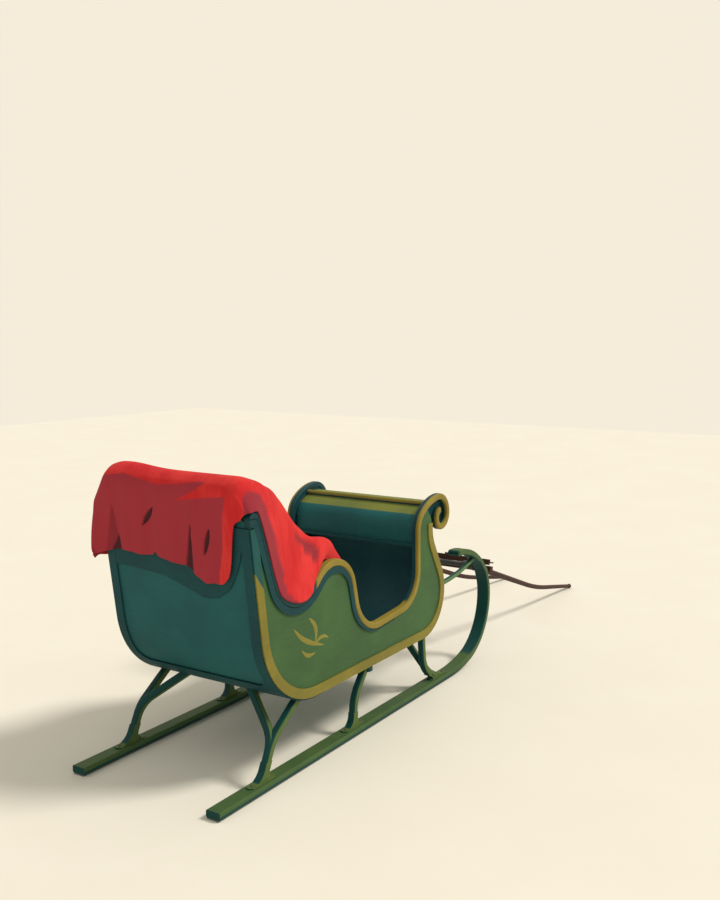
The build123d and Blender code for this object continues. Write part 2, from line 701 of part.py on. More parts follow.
# Shafts, lowered to the ground: each turns on the nose bar by an iron eye
CROSSBAR_REACH = 330.0
CROSSBAR = 40.0
CROSSBAR_END = 22.0          # past the middle of each shaft
CROSSBAR_ROUND = 8.0
BOSS = 6.0
BOSS_RADIUS = 34.0
SHAFT_START = 62.0
SHAFT_DIP = 1250.0
DIP_DEPTH = 62.0
DIP_RADIUS = 3000.0
SOCKET_WIDTH = 46.0          # of the eye's iron round the shaft
SOCKET_DEPTH = 44.0
SOCKET_ROUND = 10.0
SOCKET_LENGTH = 90.0
SHANK_DEPTH = 30.0
SHANK_ROUND = 6.0
hinge = Vector(at(HINGE_STATION), 0, HINGE_HEIGHT)
pole = Vector(cos(parking_angle), 0, -sin(parking_angle))
lift = Vector(sin(parking_angle), 0, cos(parking_angle))
toe_in = (SHAFT_SPREAD - TIP_SPREAD) / 2 / SHAFT_LENGTH
slant_length = SHAFT_LENGTH * (1 + toe_in**2) ** 0.5
shaft_plane = Plane(
    origin=hinge + Vector(0, -eye_y, 0),
    x_dir=pole + Vector(0, toe_in, 0),
    z_dir=pole * toe_in + Vector(0, -1, 0),
)
crossbar_plane = Plane(origin=hinge + pole * CROSSBAR_REACH, x_dir=pole, z_dir=lift)

with BuildPart() as shaft_crossbar:
    with BuildSketch(crossbar_plane.offset(-CROSSBAR / 2)):
        Rectangle(CROSSBAR, 2 * (eye_y + CROSSBAR_END))
    extrude(amount=CROSSBAR)
    fillet(shaft_crossbar.edges().filter_by(Axis.Y), radius=CROSSBAR_ROUND)
    with BuildSketch(crossbar_plane.offset(CROSSBAR / 2)):
        Circle(BOSS_RADIUS)
    extrude(amount=BOSS)
save(shaft_crossbar, "shaft_crossbar")

with BuildPart() as shaft:
    with BuildLine(shaft_plane) as shaft_line:
        FilletPolyline(
            (SHAFT_START, 0), (SHAFT_DIP, -DIP_DEPTH), (slant_length, 0), radius=DIP_RADIUS
        )
    wire = shaft_line.wires()[0]
    with BuildSketch(Plane(origin=wire @ 0, z_dir=wire % 0)) as butt:
        Circle(SHAFT_RADIUS)
    with BuildSketch(Plane(origin=wire @ 1, z_dir=wire % 1)) as point:
        Circle(TIP_RADIUS * 0.8)
    sweep(sections=[butt.sketch, point.sketch], path=wire, multisection=True)
    with Locations(shaft_plane.location * Location((slant_length, 0, 0))):
        Sphere(TIP_RADIUS)
    add(shaft_crossbar.part, mode=Mode.SUBTRACT)
save_pair(shaft, "shaft")

with BuildPart() as shaft_eye:
    with BuildSketch(Plane.XZ.offset(eye_y - EYE_WIDTH / 2)):
        with Locations((at(HINGE_STATION), HINGE_HEIGHT)):
            Circle(EYE_RADIUS)
    extrude(amount=EYE_WIDTH)
    with BuildSketch(Plane(origin=shaft_plane.origin, x_dir=(0, 1, 0), z_dir=shaft_plane.x_dir)):
        RectangleRounded(EYE_WIDTH, SHANK_DEPTH, SHANK_ROUND)
    extrude(amount=SHAFT_START)
    with BuildSketch(Plane(origin=wire @ 0, x_dir=(0, 1, 0), z_dir=wire % 0)):
        RectangleRounded(SOCKET_WIDTH, SOCKET_DEPTH, SOCKET_ROUND)
    extrude(amount=SOCKET_LENGTH)
    with BuildSketch(Plane.XZ.offset(eye_y - EYE_WIDTH)):
        with Locations((at(HINGE_STATION), HINGE_HEIGHT)):
            Circle(NOSE_RADIUS + HINGE_CLEARANCE)
    extrude(amount=2 * EYE_WIDTH, mode=Mode.SUBTRACT)
    add(shaft.part, mode=Mode.SUBTRACT)
save_pair(shaft_eye, "shaft_eye")

# Singletree: swings on an upright pin through the crossbar's boss
TREE_GAP = 0.3
TREE_DEPTH = 36.0
TREE_HALF = 300.0
TREE_ENDS = 14.0             # half width at each end, and the length of its round
TREE_WAIST = 24.0            # half width in the middle
PIN_RADIUS = 8.0
PIN_END = 1.0                # of the pin's shank above the singletree
NUT_RADIUS = 16.0
NUT_HEIGHT = 10.0
tree_plane = crossbar_plane.offset(CROSSBAR / 2 + BOSS + TREE_GAP)
with BuildPart() as singletree:
    with BuildSketch(tree_plane):
        with BuildLine():
            edge = ThreePointArc((-TREE_ENDS, -TREE_HALF), (-TREE_WAIST, 0), (-TREE_ENDS, TREE_HALF))
            nose = ThreePointArc(edge @ 1, (0, TREE_HALF + TREE_ENDS), (TREE_ENDS, TREE_HALF))
            face = ThreePointArc(nose @ 1, (TREE_WAIST, 0), (TREE_ENDS, -TREE_HALF))
            ThreePointArc(face @ 1, (0, -TREE_HALF - TREE_ENDS), edge @ 0)
        make_face()
    extrude(amount=TREE_DEPTH)
    with BuildSketch(tree_plane):
        Circle(PIN_RADIUS + HINGE_CLEARANCE)
    extrude(amount=TREE_DEPTH, mode=Mode.SUBTRACT)
save(singletree, "singletree")

with BuildPart() as singletree_pin:
    with BuildSketch(crossbar_plane.offset(CROSSBAR / 2 + BOSS)):
        Circle(PIN_RADIUS)
    extrude(amount=TREE_GAP + TREE_DEPTH + PIN_END)
    with BuildSketch(tree_plane.offset(TREE_DEPTH + PIN_END)):
        RegularPolygon(NUT_RADIUS, 6)
    extrude(amount=NUT_HEIGHT)
save(singletree_pin, "singletree_pin")

# Trace hooks: an iron ring let into each end of the singletree
HOOK_RADIUS = 15.0
HOOK_BORE = 8.0
HOOK_DEPTH = 8.0
HOOK_AHEAD = 10.0            # of the singletree's middle line
HOOK_END = 20.0              # past the straight part of the singletree
with BuildPart() as trace_hooks:
    for side in (-1, 1):
        end_plane = Plane(
            origin=tree_plane.origin + Vector(0, side * (TREE_HALF + HOOK_END), 0) + lift * TREE_DEPTH / 2,
            x_dir=pole,
            z_dir=lift,
        )
        with BuildSketch(end_plane.offset(-HOOK_DEPTH / 2)):
            with Locations((HOOK_AHEAD, 0)):
                Circle(HOOK_RADIUS)
                Circle(HOOK_BORE, mode=Mode.SUBTRACT)
        extrude(amount=HOOK_DEPTH)
    add(singletree.part, mode=Mode.SUBTRACT)
save(trace_hooks, "trace_hooks")
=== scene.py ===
# %% [markdown]
# # A horse drawn sleigh, dressed for a picture
#
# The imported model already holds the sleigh's construction: runners, bent knees, panels, rails,
# seat and shafts, each as its own node at its real size. This lesson gives every one of them a
# painted, woven or forged finish, and adds the soft and drawn pieces that a plain solid can't
# show: buttoned cushions, the wool lap robe, the brushed leaf ornament and the small irons.
#
# We load the frame first and keep its box, because nothing we add may grow much past it.

# %% Load the frame
import json
from math import cos, pi, radians, sin

import bmesh
import bpy
import numpy as np
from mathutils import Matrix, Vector


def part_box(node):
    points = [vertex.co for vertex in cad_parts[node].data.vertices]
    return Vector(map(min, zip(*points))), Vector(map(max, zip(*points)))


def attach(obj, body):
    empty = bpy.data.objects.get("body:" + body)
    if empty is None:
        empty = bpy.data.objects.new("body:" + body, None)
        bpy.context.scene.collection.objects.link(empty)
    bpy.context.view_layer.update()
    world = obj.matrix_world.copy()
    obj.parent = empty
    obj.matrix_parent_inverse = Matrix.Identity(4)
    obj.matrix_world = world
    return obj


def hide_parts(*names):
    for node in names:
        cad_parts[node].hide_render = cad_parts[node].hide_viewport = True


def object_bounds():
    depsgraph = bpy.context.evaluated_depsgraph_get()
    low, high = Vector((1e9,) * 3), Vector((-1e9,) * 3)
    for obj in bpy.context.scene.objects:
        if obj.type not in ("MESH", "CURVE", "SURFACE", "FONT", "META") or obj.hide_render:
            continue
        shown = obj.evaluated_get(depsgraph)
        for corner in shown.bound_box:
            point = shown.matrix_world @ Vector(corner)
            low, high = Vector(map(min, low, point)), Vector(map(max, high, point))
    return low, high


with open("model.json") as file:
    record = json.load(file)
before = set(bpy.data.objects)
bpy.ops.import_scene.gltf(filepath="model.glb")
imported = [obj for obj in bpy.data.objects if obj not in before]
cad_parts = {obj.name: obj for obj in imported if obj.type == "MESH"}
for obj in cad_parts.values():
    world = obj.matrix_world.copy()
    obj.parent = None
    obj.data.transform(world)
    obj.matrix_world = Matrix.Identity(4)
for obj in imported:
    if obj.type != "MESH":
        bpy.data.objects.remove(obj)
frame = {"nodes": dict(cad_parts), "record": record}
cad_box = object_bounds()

nodes = frame["nodes"]
scene = bpy.context.scene

# %% [markdown]
# ## Camera
#
# The picture was fitted with a pinhole camera against the runners' gauge. It stands behind the
# sleigh, to its right and a little above its back. The view's heading and tilt are two angles,
# and a lens of 40 mm on a 36 mm sensor gives the picture's perspective. A quaternion that looks
# along the view direction turns the camera, so no angle has to be converted by hand.

# %% Camera
camera_place = Vector((-5.199, -3.018, 2.005))
heading, tilt = radians(32.45), radians(-6.71)
view_direction = Vector((cos(heading) * cos(tilt), sin(heading) * cos(tilt), sin(tilt)))

camera_data = bpy.data.cameras.new("picture_camera")
camera_data.lens = 40.0
camera_data.sensor_width = 36.0
camera = bpy.data.objects.new("picture_camera", camera_data)
camera.location = camera_place
camera.rotation_euler = view_direction.to_track_quat("-Z", "Y").to_euler()
scene.collection.objects.link(camera)
scene.camera = camera
scene.view_settings.view_transform = "Standard"
print("camera looks along", [round(x, 3) for x in view_direction])

# %% [markdown]
# ## Shader maths as plain expressions
#
# A procedural finish is mostly arithmetic: a mask times a colour shift, one minus a mask, a wave
# plus some noise. Wiring Math nodes by hand hides that arithmetic, so a small class wraps a
# socket and overloads the operators. Every other node comes from one method that takes the
# node's type, its settings and what feeds its sockets.


# %% Wires and finishes
class Wire:
    """An output socket with arithmetic: each operator adds one Math node to the same finish."""

    def __init__(self, finish, socket):
        self.finish, self.socket = finish, socket

    def out(self, name):
        """Another output of the same node."""
        return Wire(self.finish, self.socket.node.outputs[name])

    def _math(self, operation, first, second):
        return self.finish.node("ShaderNodeMath", {"operation": operation}, {0: first, 1: second})

    def __add__(self, other):
        return self._math("ADD", self, other)

    def __sub__(self, other):
        return self._math("SUBTRACT", self, other)

    def __rsub__(self, other):
        return self._math("SUBTRACT", other, self)

    def either(self, other):
        """The larger of two masks."""
        return self._math("MAXIMUM", self, other)

    def wave(self):
        """A sine wave of this value in radians, from 0 to 1."""
        return self.finish.node("ShaderNodeMath", {"operation": "SINE"}, {0: self}) * 0.5 + 0.5

    def __mul__(self, other):
        return self._math("MULTIPLY", self, other)

    __radd__, __rmul__ = __add__, __mul__


class Finish:
    """The node tree of one material, ending in one Principled BSDF."""

    def __init__(self, name):
        self.material = bpy.data.materials.new(name)
        self.material.use_nodes = True
        self.tree = self.material.node_tree
        self.tree.nodes.clear()

    def node(self, kind, settings=None, sockets=None):
        """Add a node and give its first output: settings come first, then values and links."""
        made = self.tree.nodes.new(kind)
        for key, value in (settings or {}).items():
            if key == "stops":
                while len(made.color_ramp.elements) < len(value):
                    made.color_ramp.elements.new(1.0)
                for element, (place, shade) in zip(made.color_ramp.elements, value):
                    element.position, element.color = place, (*shade, 1.0)
            else:
                setattr(made, key, value)
        for key, value in (sockets or {}).items():
            if isinstance(value, Wire):
                self.tree.links.new(value.socket, made.inputs[key])
            else:
                made.inputs[key].default_value = value
        enabled = [s for s in made.outputs if s.enabled]
        return Wire(self, enabled[0]) if enabled else made

    def noise(self, place, scale, detail=3.0, roughness=0.5):
        """Smooth noise from 0 to 1, about 0.5, at a number of lumps per metre."""
        return self.node("ShaderNodeTexNoise", {}, {
            "Vector": place, "Scale": scale, "Detail": detail, "Roughness": roughness,
        })

    def step(self, value, low, high):
        """0 below low, 1 above high, smooth between them."""
        return self.node("ShaderNodeMapRange", {"interpolation_type": "SMOOTHSTEP"}, {
            "Value": value, "From Min": low, "From Max": high,
        })

    def blend(self, mask, first, second):
        """The first colour where the mask is 0, the second where it is 1."""
        return self.node("ShaderNodeMix", {"data_type": "RGBA"}, {0: mask, 6: first, 7: second})

    def place(self, scale=(1.0, 1.0, 1.0)):
        """Object coordinates in metres, stretched by a scale along each axis."""
        here = self.node("ShaderNodeTexCoord").out("Object")
        return self.node("ShaderNodeMapping", {}, {"Vector": here, "Scale": scale})

    def bump(self, height, strength, distance):
        """A normal bent by a height map, whose full range is distance in metres."""
        return self.node("ShaderNodeBump", {}, {
            "Height": height, "Strength": strength, "Distance": distance,
        })

    def surface(self, **sockets):
        """Close the finish with a Principled BSDF; underscores stand for spaces in socket names."""
        named = {key.replace("_", " "): value for key, value in sockets.items()}
        shader = self.node("ShaderNodeBsdfPrincipled", {}, named)
        self.node("ShaderNodeOutputMaterial", {}, {"Surface": shader})
        return self.material


def srgb(text):
    """A colour written as six hexadecimal digits, as the linear values that a shader takes."""
    parts = [int(text[i:i + 2], 16) / 255 for i in (0, 2, 4)]
    linear = [p / 12.92 if p <= 0.04045 else ((p + 0.055) / 1.055) ** 2.4 for p in parts]
    return (*linear, 1.0)


print("finishes ready")

# %% [markdown]
# ## Two colours on one piece
#
# The sleigh's two colours carry painted light and shade: faces that look to the rear, and the
# insides of the rails, are a dark blue-green painted as shade, and the outsides are olive or old
# gold, as if lit. A mask chooses between them from where a point is and which way its face looks.
# Positions come as stations, counted in metres from the runners' rear end, because the CAD counts
# them so.


# %% Masks for the second colour
rear_end = cad_box[0][0]

# Both ends of each mask's ramp, in metres
dash_rail = (1.55, 1.57)         # station
rail_middle = (0.4235, 0.4245)   # distance from the middle plane
ear_rail = (0.69, 0.71)          # station
curl = (2.2, 2.4)                # station
foot_line = (0.021, 0.023)       # height
ear_band = (1.322, 1.330)        # height, plus the slant times the station
slant = 1.33
ear_side = (0.5, 0.52)           # station
shelf = (0.855, 0.875)           # height


def spot(finish):
    """Station, distance from the middle plane and height of the shaded point, in metres."""
    here = finish.node("ShaderNodeSeparateXYZ", {}, {0: finish.place()})
    across = finish.node("ShaderNodeMath", {"operation": "ABSOLUTE"}, {0: here.out("Y")})
    return here - rear_end, across, here.out("Z")


def facing(finish):
    """How far the face looks forward, outward from the middle plane, and up, from -1 to 1."""
    place = finish.node("ShaderNodeSeparateXYZ", {}, {0: finish.place()})
    look = finish.node("ShaderNodeNewGeometry").out("Normal")
    look = finish.node("ShaderNodeSeparateXYZ", {}, {0: look})
    side = finish.node("ShaderNodeMath", {"operation": "SIGN"}, {0: place.out("Y")})
    return look, look.out("Y") * side, look.out("Z")


def rail_painted_shade(finish):
    """Painted shade on the rail's inner face, its inner part up the dash, and the whole ear."""
    station, across, _ = spot(finish)
    _, outward, _ = facing(finish)
    inside = finish.step(-1.0 * outward, 0.5, 0.7)
    dash = finish.step(station, *dash_rail) * (1.0 - finish.step(across, *rail_middle))
    ear = 1.0 - finish.step(station, *ear_rail)
    return inside.either(dash).either(ear)


def runner_painted_shade(finish):
    """Painted shade: the hollow side of the curl, and a strip along the foot of the straight part.
    """
    station, _, height = spot(finish)
    forward, _, up = facing(finish)
    hollow = finish.step(-1.0 * forward, 0.25, 0.35)
    strip = (1.0 - finish.step(height, *foot_line)) * (1.0 - finish.step(up, 0.4, 0.6))
    return hollow.either(strip * (1.0 - finish.step(station, *curl)))


def rear_painted_shade(finish):
    """Painted shade on faces that look to the rear."""
    forward, _, _ = facing(finish)
    return finish.step(-1.0 * forward, 0.3, 0.4)


def inner_painted_shade(finish):
    """Painted shade on faces that look at the middle plane."""
    _, outward, _ = facing(finish)
    return finish.step(-1.0 * outward, 0.4, 0.6)


def upper_band_and_highlight(finish):
    """Faces that look up or forward, painted olive: a band on the roll and a painted highlight."""
    forward, _, up = facing(finish)
    return finish.step(up + forward * 0.5, 0.45, 0.55)


def rod_painted_shade(finish):
    """Painted shade on the top and the underside of a rod."""
    _, _, up = facing(finish)
    return finish.step(up * up, 0.5, 0.6)


def panel_painted_shade(finish):
    """Painted shade on faces that look inward or to the rear."""
    return inner_painted_shade(finish).either(rear_painted_shade(finish))


def ear_painted_shade(finish):
    """Painted shade: the ear's side above a slanting line, where the band turns teal under the
    robe.
    """
    station, _, height = spot(finish)
    above = finish.step(height + station * slant, *ear_band)
    return above * (1.0 - finish.step(station, *ear_side))


def below_roll_painted_light(finish):
    """Painted light on the dash's inner side under the roll's shelf: a lighter blue that lifts its
    shadow.
    """
    _, _, height = spot(finish)
    forward, _, _ = facing(finish)
    return (1.0 - finish.step(height, *shelf)) * (1.0 - finish.step(forward, -0.05, 0.05))


print("masks ready")

# %% [markdown]
# ## Painted wood
#
# Carriage paint is brushed on in long strokes and rubbed down, so it is never one flat colour:
# it is a shade lighter where the brush left it thick, and its gloss wanders. We make that with
# three noises. A large one shifts the colour and the gloss, a fine one, stretched along the
# board, gives the strokes, and a still finer one the grain between them. The edges of panels and
# rails are rubbed lighter: the Bevel node gives a rounded normal there, and how far it leans from
# the flat one is the wear mask, which the strokes break up.


# %% Painted wood
def painted(name, body, deep, worn, along=(1.0, 1.0, 1.0), rough=0.5, second=None, where=None):
    """Brushed paint: colour wanders from body to deep, and goes to worn on rubbed edges.

    Where the mask that where() gives is 1, the second three colours take the first three's place:
    most masks here paint shade or a highlight that way.
    """
    finish = Finish(name)
    mottle = finish.noise(finish.place(), 3.2, 4.0, 0.6)
    strokes = finish.noise(finish.place(along), 90.0, 3.0, 0.65)
    grain = finish.noise(finish.place(), 900.0, 2.0, 0.6)
    flat = finish.node("ShaderNodeNewGeometry").out("Normal")
    rounded = finish.node("ShaderNodeBevel", {"samples": 4}, {"Radius": 0.004})
    lean = finish.node("ShaderNodeVectorMath", {"operation": "DOT_PRODUCT"}, {0: flat, 1: rounded})
    rubbed = finish.step(1.0 - lean.out("Value"), 0.015, 0.12) * finish.step(strokes, 0.42, 0.62)
    patches = finish.step(mottle, 0.32, 0.72)
    colour = finish.blend(patches, srgb(deep), srgb(body))
    light = srgb(worn)
    if second:
        mask = where(finish)
        other = finish.blend(patches, srgb(second[1]), srgb(second[0]))
        colour = finish.blend(mask, colour, other)
        light = finish.blend(mask, light, srgb(second[2]))
    thin_paint = finish.step(strokes * 0.6 + grain * 0.4, 0.3, 0.85)
    colour = finish.blend(thin_paint * 0.22, colour, light)
    colour = finish.blend(rubbed * 0.5, colour, light)
    return finish.surface(
        Base_Color=colour,
        Roughness=rough + mottle * 0.12,
        Specular_IOR_Level=0.14,
        Normal=finish.bump(strokes * 0.7 + grain * 0.3, 0.35, 0.0006),
    )


# Noise stretched along an axis, and the painted shade tone of panels and rails
along_x, along_y, along_z = (0.12, 1.0, 1.0), (1.0, 0.12, 1.0), (1.0, 1.0, 0.12)
shade_tones = ("174347", "13393e", "265e5f")

# Painted shade: the side panels' faces that look inward or to the rear take the dark tone.
side_green = painted("side_green", "43643a", "395836", "618047", along_x, 0.5, shade_tones, panel_painted_shade)
# Painted shade: the rail's inner face, its inner part up the dash and the ear take the dark tone.
rail_gold = painted("rail_gold", "8f8136", "7a702c", "d9932c", along_x, 0.42, shade_tones, rail_painted_shade)
# Painted shade: on the ear the moulding turns teal, where the robe shades it.
moulding_olive = painted(
    "moulding_olive", "857b33", "706a2d", "ad963b", along_x, 0.45,
    ("1f5652", "1a4a48", "2f6e66"), ear_painted_shade,
)
# Painted shadow: the cove under the rail is a dark teal that stands for the shade of its overhang.
cove_teal = painted("cove_teal", "154346", "11393d", "265e5c", along_x)
back_teal = painted("back_teal", "205d5d", "1b5052", "32706f", along_y)
# Olive band and painted highlight: the roll's faces that look up or forward are olive, as if lit.
roll_teal = painted(
    "roll_teal", "1f6060", "195052", "347877", along_y, 0.45,
    ("77803a", "5f6f38", "a3963f"), upper_band_and_highlight,
)
# Painted light: the dash's inner side under the roll's shelf is a lighter teal that lifts its
# shadow.
dash_teal = painted(
    "dash_teal", "1c4f4b", "173f41", "2c655f", along_y, 0.5,
    ("3d7078", "35646c", "4a7f85"), below_roll_painted_light,
)
frame_teal = painted("frame_teal", "16474a", "123c41", "256061", along_y)
# Painted shade: the hollow of the curl and a strip along the runner's foot are dark teal.
runner_olive = painted(
    "runner_olive", "486136", "3a5633", "6f8242", along_x, 0.48,
    ("12443f", "0f3a39", "1f5650"), runner_painted_shade,
)
# Painted shade: the knees' faces that look to the rear are dark teal.
knee_olive = painted(
    "knee_olive", "566a36", "475f34", "7f8a44", along_z, 0.48,
    ("12423f", "0f3837", "1f5650"), rear_painted_shade,
)
# Painted shade: the brace is dark on its top and underside and lighter along its middle, like a lit
# rod.
brace_green = painted(
    "brace_green", "5a774c", "4b6a45", "7f9664", along_x, 0.48,
    ("174a45", "123d3b", "24605a"), rod_painted_shade,
)
floor_teal = painted("floor_teal", "2a6562", "225553", "3f7f78", along_x)
shaft_brown = painted("shaft_brown", "3f2722", "33201d", "6d4736", along_x)
print("painted finishes ready")

# %% [markdown]
# ## Iron
#
# The shoes are bare steel, polished by the snow, with patches of rust. The hitch irons were
# painted black once, and show dark metal where they rub. Metallic takes the same mask as the
# colour, so a rusty or painted patch is never shiny.


# %% Iron
def iron(name, bare, cover, amount, rough):
    """Forged iron: bare metal where a noise is low, covered by paint or rust elsewhere."""
    finish = Finish(name)
    blotch = finish.noise(finish.place(), 26.0, 5.0, 0.65)
    scratch = finish.noise(finish.place((0.05, 1.0, 1.0)), 700.0, 2.0, 0.5)
    pits = finish.noise(finish.place(), 420.0, 3.0, 0.6)
    covered = finish.step(blotch, 0.62 - amount, 0.74 - amount)
    colour = finish.blend(covered, srgb(bare), srgb(cover))
    return finish.surface(
        Base_Color=finish.blend(scratch * 0.3, colour, srgb("8b8c88")),
        Metallic=(1.0 - covered) * 0.85,
        Roughness=rough + covered * 0.3 + scratch * 0.1,
        Normal=finish.bump(pits * 0.6 + scratch * 0.4, 0.4, 0.0008),
    )


shoe_steel = iron("shoe_steel", "6d7072", "5b4a3c", 0.08, 0.32)
hitch_iron = iron("hitch_iron", "4c4e4f", "1d2122", 0.30, 0.38)

# %% [markdown]
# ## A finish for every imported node
#
# The record gives each node a material slot, and most nodes take the finish of their slot. One
# slot can hold pieces that are painted differently, such as the rail and the moulding beside it.
# Those are picked by how their names start.

# %% Give every node its finish
slot_of = {row["node"]: row["material_slot"] for row in frame["record"]["subparts"]}
finish_of_slot = {
    "green_panel": side_green,
    "cove_teal": cove_teal,
    "dark_teal": frame_teal,
    "runner_green": runner_olive,
    "knee_iron": knee_olive,
    "shoe_steel": shoe_steel,
    "floor_wood": floor_teal,
    "shaft_wood": shaft_brown,
    "hitch_iron": hitch_iron,
}
finish_of_start = {
    "top_rail": rail_gold,
    "side_moulding": moulding_olive,
    "back_panel": back_teal,
    "dash_panel": dash_teal,
    "dash_roll": roll_teal,
    "tip_brace": brace_green,
}


def dress(node):
    """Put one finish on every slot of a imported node, by its name's start or by its slot."""
    by_name = [made for start, made in finish_of_start.items() if node.startswith(start)]
    mesh = nodes[node].data
    mesh.materials.clear()
    mesh.materials.append(by_name[0] if by_name else finish_of_slot.get(slot_of[node], frame_teal))


for node in nodes:
    dress(node)
print("dressed:", len(nodes), "nodes")

# %% [markdown]
# ## Surfaces from grids of points
#
# The new pieces are surfaces with two parameters. Each is a grid of points worked out by numpy,
# and neighbouring points make its faces. Smooth curves through a few points come from the
# Catmull-Rom formula, which passes through each point and leaves it in the direction of the next
# one but one. It works on a list of numbers, of points, or of whole rows alike.


# %% Curves and skins
def through(points, places):
    """The Catmull-Rom curve through points, at places counted in points from the first.

    Between p1 and p2, with f from 0 to 1 and p0 and p3 their other neighbours:
    p = p1 + f/2 (p2 - p0) + f^2/2 (2 p0 - 5 p1 + 4 p2 - p3) + f^3/2 (3 p1 - p0 - 3 p2 + p3)
    """
    points = np.asarray(points, float)
    last = len(points) - 1
    low = np.minimum(places.astype(int), last - 1)
    f = (places - low).reshape([-1] + [1] * (points.ndim - 1))
    p0, p1, p2, p3 = (points[np.clip(low + step, 0, last)] for step in (-1, 0, 1, 2))
    return (
        p1
        + f / 2 * (p2 - p0)
        + f**2 / 2 * (2 * p0 - 5 * p1 + 4 * p2 - p3)
        + f**3 / 2 * (3 * p1 - p0 - 3 * p2 + p3)
    )


def ramp(value, low, high):
    """0 below low, 1 above high, and 3 t^2 - 2 t^3 between them."""
    t = np.clip((value - low) / (high - low), 0.0, 1.0)
    return t * t * (3.0 - 2.0 * t)


def metres(station, across, height):
    """Points in the frame's metres from stations, distances to the left and heights in mm."""
    station, across, height = np.broadcast_arrays(station, across, height)
    return np.stack([station / 1000 + rear_end, across / 1000, height / 1000], axis=-1)


def enter(name, mesh, body, material):
    """Put a finished mesh in the scene as a smooth piece that rides on a body."""
    mesh.polygons.foreach_set("use_smooth", np.ones(len(mesh.polygons), dtype=bool))
    mesh.materials.append(material)
    piece = bpy.data.objects.new(name, mesh)
    scene.collection.objects.link(piece)
    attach(piece, body)
    return piece


def skin(name, grid, body, material, slot, **layers):
    """A smooth piece from one grid of points or several; layers are one number for each point."""
    rows, columns = grid.shape[-3:-1]
    number = np.arange(grid[..., 0].size).reshape(-1, rows, columns)
    corners = number[:, :-1, :-1], number[:, :-1, 1:], number[:, 1:, 1:], number[:, 1:, :-1]
    faces = np.stack(corners, axis=-1).reshape(-1, 4)
    mesh = bpy.data.meshes.new(name)
    mesh.from_pydata(grid.reshape(-1, 3).tolist(), [], faces.tolist())
    for layer, values in layers.items():
        mesh.attributes.new(layer, "FLOAT", "POINT").data.foreach_set("value", np.ravel(values))
    return enter(name, mesh, body, material)


def thicken(piece, thickness):
    """Give a skin a back, this many metres behind its face."""
    shell = piece.modifiers.new("thickness", "SOLIDIFY")
    shell.thickness, shell.offset = thickness, -1.0


def ease(grid):
    """Smooth a grid across: a column becomes half of itself and a quarter of each neighbour."""
    grid[:, 1:-1] = grid[:, 1:-1] / 2 + (grid[:, :-2] + grid[:, 2:]) / 4


def back_face(height, proud):
    """Station of a surface that stands proud of the leaning back, in mm.

    The back's outer face is at 218 where it is 1228 high, and 0.143 further on for each mm down.
    """
    return 218 + (1228 - height) * 0.143 - proud


both_sides = (("right", -1.0), ("left", 1.0))
print("grids ready")

# %% [markdown]
# ## Wool
#
# The robe is napped wool: short fibres that catch the light at a slant, in a red that wanders
# between a brighter and a darker tone. Shade is painted into it too: a darker red where it lies in
# shade, and nearly black in its folds. Each point of the mesh carries how much of each painted
# shade it has, and the finish reads both.

# %% Robe finish
robe_finish = Finish("robe_wool")
nap = robe_finish.noise(robe_finish.place((1.0, 1.0, 0.35)), 420.0, 3.0, 0.7)
tufts = robe_finish.noise(robe_finish.place(), 95.0, 4.0, 0.6)
brushed = robe_finish.noise(robe_finish.place((1.0, 1.0, 0.3)), 9.0, 4.0, 0.6)
crease = robe_finish.node("ShaderNodeAttribute", {"attribute_name": "crease"}).out("Fac")
turned = robe_finish.node("ShaderNodeAttribute", {"attribute_name": "turned"}).out("Fac")
red = robe_finish.blend(robe_finish.step(brushed, 0.3, 0.7), srgb("cb2829"), srgb("e63f3b"))
red = robe_finish.blend(tufts * 0.3, red, srgb("b8242a"))
# Painted shade: a darker red where the rear hang and the right edge lie in shade, near black in
# folds.
red = robe_finish.blend(turned * 0.95, red, srgb("a2353f"))
red = robe_finish.blend(crease * 0.9, red, srgb("3a2226"))
robe_wool = robe_finish.surface(
    Base_Color=red,
    Roughness=0.82 + nap * 0.15,
    Specular_IOR_Level=0.06,
    Sheen_Weight=0.05,
    Sheen_Roughness=0.5,
    Normal=robe_finish.bump(nap * 0.6 + tufts * 0.4, 0.5, 0.002),
)

# %% [markdown]
# ## Lap robe: the sections
#
# The robe is thrown over the back, lies on the seat, and laps over both ears. We draw it by
# cross-sections that run from the rear hem over the crest to the front edge. In the middle the
# section follows the back cushion and the seat. Near the arms it rides on a bunched-up ridge. At
# the ends it lies on the rail: over the ear, down its slope and round the valley. Across the
# robe a ramp blends each section into the next, and past the left ear a flap falls outside.
# A section has 15 points: place 0 is at the rear hem, 5 on the crest and 14 at the front edge.

# %% Lap robe: the sections
places = np.concatenate([np.linspace(0.0, 4.0, 100, endpoint=False), np.linspace(4.0, 14.0, 128)])
robe_columns, flap_columns = 176, 24

# Distance from the middle, to the left, and height of the rear hem
hem = np.array([
    (-392, 1224), (-360, 1206), (-334, 1039), (-312, 970), (-268, 927), (-242, 922), (-226, 931),
    (-177, 922), (-101, 966), (-63, 986), (100, 1012), (110, 1050), (122, 1013), (178, 1010),
    (328, 1017), (387, 1007), (470, 990),
])
# Station and height along each section, after three points that hang behind the back
middle_section = [
    (190, 1340), (214, 1384), (268, 1402), (330, 1372), (352, 1290), (372, 1180), (392, 1080),
    (412, 985), (480, 902), (680, 884), (880, 880), (1002, 862),
]
ridge_section = [
    (190, 1340), (214, 1384), (268, 1402), (376, 1369), (470, 1315), (581, 1183), (653, 1110),
    (728, 1070), (853, 1030), (933, 983), (995, 914), (1002, 866),
]
